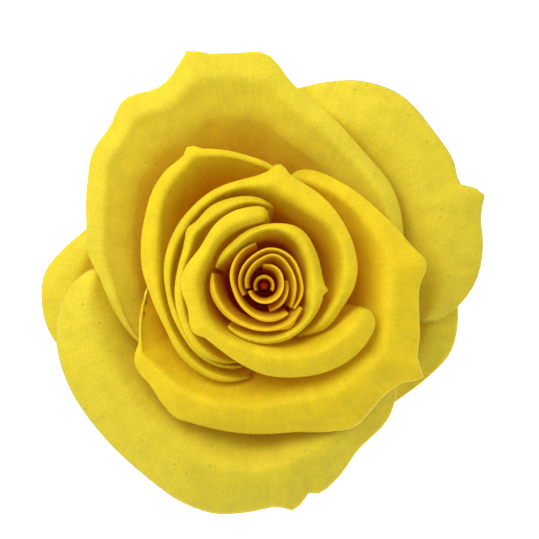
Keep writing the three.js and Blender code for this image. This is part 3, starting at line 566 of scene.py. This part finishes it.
def leaf_skin_group():
    """Dyed green tissue gone ochre: streaks along it, mottling, rusty spots and a dry grain."""
    group, enter, leave = new_group(
        "leaf_skin",
        [("Place", "NodeSocketVector", None), ("Dark", "NodeSocketColor", (0.14, 0.13, 0.03, 1)),
         ("Light", "NodeSocketColor", (0.34, 0.3, 0.07, 1)),
         ("Rust", "NodeSocketColor", (0.3, 0.14, 0.02, 1)),
         ("Smooth", "NodeSocketFloat", 0.55), ("Dry", "NodeSocketFloat", 0.75)],
        [("Color", "NodeSocketColor"), ("Roughness", "NodeSocketFloat"),
         ("Height", "NodeSocketFloat")])
    place = enter.outputs["Place"]
    streak = noise_node(group, place, 550, 5, stretch=(1, 1, 0.25))
    spot = noise_node(group, place, 2300, 3)
    stain = noise_node(group, place, 210, 4)
    both = sums(group, "ADD", sums(group, "MULTIPLY", spot, 0.4), sums(group, "MULTIPLY", streak, 0.8))
    leaf = blend_node(group, spread(group, both, 0.45, 0.8), enter.outputs["Dark"],
                      enter.outputs["Light"])
    rusty = blend_node(group, spread(group, stain, 0.56, 0.72, 0.0, 0.7), leaf,
                       enter.outputs["Rust"])
    group.links.new(rusty, leave.inputs["Color"])
    span = sums(group, "SUBTRACT", enter.outputs["Dry"], enter.outputs["Smooth"])
    rough = sums(group, "ADD", sums(group, "MULTIPLY", spot, span), enter.outputs["Smooth"])
    group.links.new(rough, leave.inputs["Roughness"])
    group.links.new(both, leave.inputs["Height"])
    return group


def leaf_material(name, group, dark, light, rust):
    material = bpy.data.materials.new(name)
    material.use_nodes = True
    tree = material.node_tree
    shader = tree.nodes["Principled BSDF"]
    skin = add_node(tree, "ShaderNodeGroup", node_tree=group)
    place = add_node(tree, "ShaderNodeTexCoord")
    tree.links.new(place.outputs["Object"], skin.inputs["Place"])
    for key, colour in (("Dark", dark), ("Light", light), ("Rust", rust)):
        skin.inputs[key].default_value = (*colour, 1)
    bump = add_node(tree, "ShaderNodeBump", Strength=0.5, Distance=0.0002)
    tree.links.new(skin.outputs["Height"], bump.inputs["Height"])
    tree.links.new(bump.outputs[0], shader.inputs["Normal"])
    tree.links.new(skin.outputs["Color"], shader.inputs["Base Color"])
    tree.links.new(skin.outputs["Roughness"], shader.inputs["Roughness"])
    shader.inputs["Specular IOR Level"].default_value = 0.25
    return material


# Colours are lip, wall, deep, back and pale: wall and deep are partly the petals' own deeper base colour
# and partly painted shade, pale is a painted sheen, and the last number is the strength of the painted
# recess glow.
skin_group = petal_skin_group()
# Lit copy of the outer petal finish, for petal 13: brighter, painted light.
lit_outer_yellow = petal_material(
    "outer_petal_yellow_lit", skin_group,
    [(0.92, 0.77, 0.035), (0.90, 0.58, 0.003), (0.82, 0.38, 0.002), (0.80, 0.66, 0.04),
     (0.92, 0.81, 0.11)],
    (4.5, 18.0, 6.0), 0.2, 0.3)
# Shaded copy of the outer petal finish, for the lower outer petals: darker, painted shade.
shaded_lowest_yellow = petal_material(
    "lowest_petal_yellow_shaded", skin_group,
    [(0.76, 0.59, 0.02), (0.80, 0.42, 0.003), (0.62, 0.2, 0.002), (0.74, 0.60, 0.035),
     (0.76, 0.62, 0.06)],
    (4.0, 10.0, 5.0), 0.12, 0.06)
inner_yellow = petal_material(
    "inner_petal_yellow", skin_group,
    [(0.94, 0.81, 0.06), (0.90, 0.50, 0.002), (0.76, 0.23, 0.002), (0.88, 0.68, 0.02),
     (0.95, 0.85, 0.12)],
    (4.0, 10.0, 1.6), 0.26, 0.13)
heart_yellow = petal_material(
    "heart_petal_amber", skin_group,
    [(0.96, 0.82, 0.05), (0.84, 0.30, 0.002), (0.56, 0.04, 0.003), (0.9, 0.6, 0.02),
     (0.97, 0.86, 0.1)],
    (2.6, 6.0, 0.5), 0.2, 0.12)


leaf_group = leaf_skin_group()
sepal_ochre = leaf_material("sepal_ochre", leaf_group, (0.15, 0.15, 0.03), (0.36, 0.34, 0.08),
                            (0.34, 0.19, 0.03))
hip_ochre = leaf_material("hip_ochre", leaf_group, (0.2, 0.19, 0.04), (0.4, 0.36, 0.09),
                          (0.32, 0.2, 0.04))
fibre_straw = leaf_material("fibre_straw", leaf_group, (0.42, 0.34, 0.14), (0.66, 0.56, 0.3),
                            (0.4, 0.24, 0.08))


def petal_finish(name):
    # Petal 13 gets the lit copy and the lower outer petals the shaded copy: painted light and painted
    # shade.
    if name == "petal_13":
        return lit_outer_yellow
    if name in OUTER_PETALS:
        return shaded_lowest_yellow
    if name in HEART_PETALS or name == "heart_petal":
        return heart_yellow
    return inner_yellow


for number, petal in enumerate(PETALS):
    petal_piece(petal, number, petal_finish(petal["name"]))


# ---------------------------------------------------------------- heart spindle, hip, sepals


def lathe_piece(name, outline, sides, material, twist=0.0):
    """A closed body turned about the stub's axis; outline runs from its foot to its top."""
    points = []
    for k, (r, z) in enumerate(outline[1:-1]):
        for i in range(sides):
            a = math.tau * i / sides
            wave = 1 + twist * math.sin(a * 5 + z * 0.35)
            points.append((r * wave * math.cos(a) * MM, r * wave * math.sin(a) * MM, z * MM))
    low = len(points)
    points.append((0, 0, outline[0][1] * MM))
    high = len(points)
    points.append((0, 0, outline[-1][1] * MM))
    rows = len(outline) - 2
    faces = []
    for i in range(sides):
        n = (i + 1) % sides
        faces.append((low, n, i))
        faces.append((high, (rows - 1) * sides + i, (rows - 1) * sides + n))
        for k in range(rows - 1):
            faces.append((k * sides + i, k * sides + n, (k + 1) * sides + n, (k + 1) * sides + i))
    mesh = bpy.data.meshes.new(name)
    mesh.from_pydata(points, [], faces)
    mesh.polygons.foreach_set("use_smooth", [True] * len(mesh.polygons))
    mesh.materials.append(material)
    # For a petal finish, depth 6 mm paints the piece in the deep colour, partly painted shade, with the
    # painted recess glow; the leaf finishes don't read it.
    for key, value in (("depth", 6.0), ("side", 0.0), ("rim", 5.0)):
        layer = mesh.attributes.new(key, "FLOAT", "POINT")
        layer.data.foreach_set("value", [value] * len(points))
    uv = mesh.uv_layers.new(name="Fan")
    for loop in mesh.loops:
        p = points[loop.vertex_index]
        uv.data[loop.index].uv = (math.atan2(p[1], p[0]), p[2] / MM)
    piece = bpy.data.objects.new(name, mesh)
    bpy.context.scene.collection.objects.link(piece)
    return piece


def outline_curve(knots, count):
    """Count points along a smooth curve through [share, radius, height] knots."""
    return [through(knots, n / (count - 1)) for n in range(count)]


spindle_knots = [[0, 0.13, 17.35], [0.35, 0.2, 24], [0.7, 0.42, 32], [0.9, 0.48, 36], [1, 0.2, 36.9]]
spindle_outline = [(0, 17.3)] + outline_curve(spindle_knots, 24) + [(0, 37.05)]
# The heart finish at full depth: the spindle is painted in the deep colour, partly painted shade, and
# carries the painted recess glow.
spindle = lathe_piece("heart_spindle_roll", spindle_outline, 32, heart_yellow, 0.12)
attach(spindle, "root")
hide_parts("heart_spindle")

hip_knots = [[0, STUB_RADIUS, 0.12], [0.14, 2.8, 2.4], [0.25, 3.3, 4], [0.42, 5, 5.4],
             [0.6, HIP_RADIUS, 7.4], [0.78, 6.45, 9.2], [0.86, 6.4, 10], [1, 5.4, 12.1]]
hip_outline = [(0, 0), (STUB_RADIUS - 0.15, 0)] + outline_curve(hip_knots, 40)
hip_outline += [(4.5, 13.6), (3.2, 15.2), (1.6, 16.55), (0, 17)]
hip = lathe_piece("hip_with_stub", hip_outline, 96, hip_ochre, 0.012)
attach(hip, "root")
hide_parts("hip_and_stub")


def sepal_piece(number, bearing, tip):
    a = math.radians(bearing)
    spine = [[0, 7.1, 8.1], [0.3, 10.6, 9.4], [0.6, 14, 7.6], [0.85, tip - 0.9, 3.2],
             [1, tip, SEPAL_THICK / 2 - 0.2]]
    columns, rings = 25, 60
    points = np.zeros((columns, rings, 3))
    along = np.zeros((columns, rings))
    across = np.zeros((columns, rings))
    for j in range(rings):
        v = j / (rings - 1)
        r, z = through(spine, v)
        half = through(SEPAL_OUTLINE, v)[0]
        lobe = 1 + 0.12 * math.sin(v * 31 + number) * smooth(0.15, 0.4, v)
        for i in range(columns):
            share = 1 - 2 * i / (columns - 1)
            side = share * half * lobe
            rib = 0.22 * math.exp(-(share / 0.16) ** 2) * (1 - v)
            cup = 0.12 * side * side * (1 - v) + rib
            points[i, j] = (r * math.cos(a) - side * math.sin(a),
                            r * math.sin(a) + side * math.cos(a), z - cup + 0.1)
            along[i, j] = v * SEPAL_LENGTH
            across[i, j] = half - side
    near = np.minimum(np.minimum(along, along.max() - along),
                      np.minimum(across, across.max(axis=0, keepdims=True) - across))
    skin = SEPAL_THICK * 0.36 * np.sqrt(np.clip(near / 0.5, 0, 1))
    skin[0] = skin[-1] = 0
    skin[:, 0] = skin[:, -1] = 0
    layers = {"depth": along * 0, "along": along, "across": across}
    piece = closed_body(f"sepal_{number}_leaf", points, skin, layers)
    piece.data.materials.append(sepal_ochre)
    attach(piece, "root")
    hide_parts(f"sepal_{number}")
    return piece


sepal_leaves = [sepal_piece(number, bearing, tip)
                for number, (bearing, tip) in enumerate(SEPALS, 1)]


# ---------------------------------------------------------------- hairs and fibres


def scatter_tree(name):
    """Small cones strewn over a surface, standing on it, each with its own length."""
    tree = bpy.data.node_groups.new(name, "GeometryNodeTree")
    tree.interface.new_socket("Geometry", in_out="INPUT", socket_type="NodeSocketGeometry")
    for key, kind in (("Count per square metre", "NodeSocketFloat"),
                      ("Closest", "NodeSocketFloat"), ("Length", "NodeSocketFloat"),
                      ("Foot radius", "NodeSocketFloat"), ("Tip radius", "NodeSocketFloat"),
                      ("Lean", "NodeSocketFloat"), ("Seed", "NodeSocketInt"),
                      ("Finish", "NodeSocketMaterial")):
        tree.interface.new_socket(key, in_out="INPUT", socket_type=kind)
    tree.interface.new_socket("Geometry", in_out="OUTPUT", socket_type="NodeSocketGeometry")
    enter = tree.nodes.new("NodeGroupInput")
    leave = tree.nodes.new("NodeGroupOutput")
    links = tree.links
    strewn = add_node(tree, "GeometryNodeDistributePointsOnFaces", distribute_method="POISSON")
    links.new(enter.outputs["Geometry"], strewn.inputs["Mesh"])
    links.new(enter.outputs["Closest"], strewn.inputs["Distance Min"])
    links.new(enter.outputs["Count per square metre"], strewn.inputs["Density Max"])
    links.new(enter.outputs["Seed"], strewn.inputs["Seed"])
    cone = add_node(tree, "GeometryNodeMeshCone")
    cone.inputs["Vertices"].default_value = 5
    links.new(enter.outputs["Tip radius"], cone.inputs["Radius Top"])
    links.new(enter.outputs["Foot radius"], cone.inputs["Radius Bottom"])
    links.new(enter.outputs["Length"], cone.inputs["Depth"])
    low = add_node(tree, "ShaderNodeMath", operation="MULTIPLY")
    links.new(enter.outputs["Lean"], low.inputs[0])
    low.inputs[1].default_value = -1.0
    lean = add_node(tree, "FunctionNodeRandomValue", data_type="FLOAT")
    links.new(low.outputs[0], lean.inputs[2])
    links.new(enter.outputs["Lean"], lean.inputs[3])
    links.new(enter.outputs["Seed"], lean.inputs["Seed"])
    tilt = add_node(tree, "ShaderNodeCombineXYZ")
    links.new(lean.outputs[1], tilt.inputs["X"])
    turned = add_node(tree, "FunctionNodeRotateRotation", rotation_space="LOCAL")
    links.new(strewn.outputs["Rotation"], turned.inputs[0])
    links.new(tilt.outputs[0], turned.inputs[1])
    sizes = add_node(tree, "FunctionNodeRandomValue", data_type="FLOAT")
    sizes.inputs[2].default_value = 0.55
    sizes.inputs[3].default_value = 1.0
    links.new(enter.outputs["Seed"], sizes.inputs["Seed"])
    placed = add_node(tree, "GeometryNodeInstanceOnPoints")
    links.new(strewn.outputs["Points"], placed.inputs["Points"])
    links.new(cone.outputs["Mesh"], placed.inputs["Instance"])
    links.new(turned.outputs[0], placed.inputs["Rotation"])
    links.new(sizes.outputs[1], placed.inputs["Scale"])
    real = add_node(tree, "GeometryNodeRealizeInstances")
    links.new(placed.outputs[0], real.inputs[0])
    finish = add_node(tree, "GeometryNodeSetMaterial")
    links.new(real.outputs[0], finish.inputs["Geometry"])
    links.new(enter.outputs["Finish"], finish.inputs["Material"])
    links.new(finish.outputs[0], leave.inputs[0])
    return tree


def strewn_piece(name, bed, tree, values, node):
    """A piece made of what the tree strews over the bed mesh."""
    holder = bpy.data.objects.new(name, bed)
    bpy.context.scene.collection.objects.link(holder)
    strew = holder.modifiers.new("strew", "NODES")
    strew.node_group = tree
    for item in tree.interface.items_tree:
        if item.in_out == "INPUT" and item.name in values:
            strew[item.identifier] = values[item.name]
    shape = holder.evaluated_get(bpy.context.evaluated_depsgraph_get())
    mesh = bpy.data.meshes.new_from_object(shape)
    holder.modifiers.remove(strew)
    holder.data = mesh
    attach(holder, "root")
    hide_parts(node)
    return holder


def underside_of(piece, name):
    """The part of a sepal's skin that carries hairs, without its rib and tip."""
    mesh = bpy.data.meshes.new(name)
    source = piece.data
    kept = [tuple(face.vertices) for face in source.polygons
            if face.normal.z < 0.3 and face.center.z > 0.0015]
    used = sorted({v for face in kept for v in face})
    place = {v: i for i, v in enumerate(used)}
    points = [tuple(source.vertices[v].co) for v in used]
    mesh.from_pydata(points, [], [tuple(place[v] for v in face) for face in kept])
    return mesh


hair_tree = scatter_tree("strewn_hairs")
for number, leaf in enumerate(sepal_leaves, 1):
    strewn_piece(
        f"sepal_{number}_hairs", underside_of(leaf, f"sepal_{number}_bed"), hair_tree,
        {"Count per square metre": 9e6, "Closest": 0.00034, "Length": 0.0007,
         "Foot radius": 0.00004, "Tip radius": 0.000015, "Lean": 0.5, "Seed": number,
         "Finish": fibre_straw},
        f"sepal_{number}")


def ring_bed(name, inner, outer, height, rows, sides):
    """A flat ring facing down, on which the fibre ends of the cut stub stand."""
    points = []
    for k in range(rows):
        r = mix(inner, outer, k / (rows - 1)) * MM
        for i in range(sides):
            a = math.tau * i / sides
            points.append((r * math.cos(a), r * math.sin(a), height * MM))
    faces = []
    for k in range(rows - 1):
        for i in range(sides):
            n = (i + 1) % sides
            faces.append((k * sides + i, k * sides + n, (k + 1) * sides + n, (k + 1) * sides + i))
    mesh = bpy.data.meshes.new(name)
    mesh.from_pydata(points, [], faces)
    return mesh


strewn_piece(
    "stub_fibre_ends", ring_bed("stub_bed", inner=1.6, outer=2.5, height=0.14, rows=3, sides=48),
    hair_tree,
    {"Count per square metre": 2e7, "Closest": 0.0003, "Length": 0.00012, "Foot radius": 0.00013,
     "Tip radius": 0.0001, "Lean": 0.1, "Seed": 7, "Finish": fibre_straw},
    "hip_and_stub")


# ---------------------------------------------------------------- floor, light and camera


def floor_piece():
    side = 3.0
    corners = [(-side, -side, 0), (side, -side, 0), (side, side, 0), (-side, side, 0)]
    mesh = bpy.data.meshes.new("pale_floor")
    mesh.from_pydata(corners, [], [(0, 1, 2, 3)])
    material = bpy.data.materials.new("pale_floor")
    material.use_nodes = True
    shader = material.node_tree.nodes["Principled BSDF"]
    shader.inputs["Base Color"].default_value = (0.86, 0.86, 0.86, 1)
    shader.inputs["Roughness"].default_value = 0.9
    shader.inputs["Emission Color"].default_value = (1, 1, 1, 1)
    shader.inputs["Emission Strength"].default_value = 0.75
    mesh.materials.append(material)
    floor = bpy.data.objects.new("pale_floor", mesh)
    bpy.context.scene.collection.objects.link(floor)


def soft_light(name, place, target, size, power):
    lamp = bpy.data.lights.new(name, "AREA")
    lamp.size = size
    lamp.energy = power
    lamp.color = (1.0, 0.99, 0.97)
    holder = bpy.data.objects.new(name, lamp)
    holder.location = place
    aim = Vector(target) - Vector(place)
    holder.rotation_euler = aim.to_track_quat("-Z", "Y").to_euler()
    bpy.context.scene.collection.objects.link(holder)


def camera_above():
    """Looks straight down on the bloom from a metre up."""
    camera = bpy.data.cameras.new("camera")
    camera.sensor_width = 36
    height = 1.0
    plane = 0.036  # height of the level on which the view is width across
    width = 0.0706
    centre = (0.00072, 0.00216)
    camera.lens = camera.sensor_width * (height - plane) / width
    camera.clip_end = 20
    holder = bpy.data.objects.new("camera", camera)
    holder.location = (*centre, height)
    bpy.context.scene.collection.objects.link(holder)
    bpy.context.scene.camera = holder


def world_light(strength):
    world = bpy.data.worlds.new("studio")
    world.use_nodes = True
    back = world.node_tree.nodes["Background"]
    back.inputs["Color"].default_value = (1, 1, 1, 1)
    back.inputs["Strength"].default_value = strength
    bpy.context.scene.world = world


floor_piece()
camera_above()
world_light(strength=0.66)
soft_light("key_softbox", place=(-0.35, 0.45, 0.9), target=(0, 0, 0.03), size=0.7, power=8)
bpy.context.scene.view_settings.view_transform = "Standard"
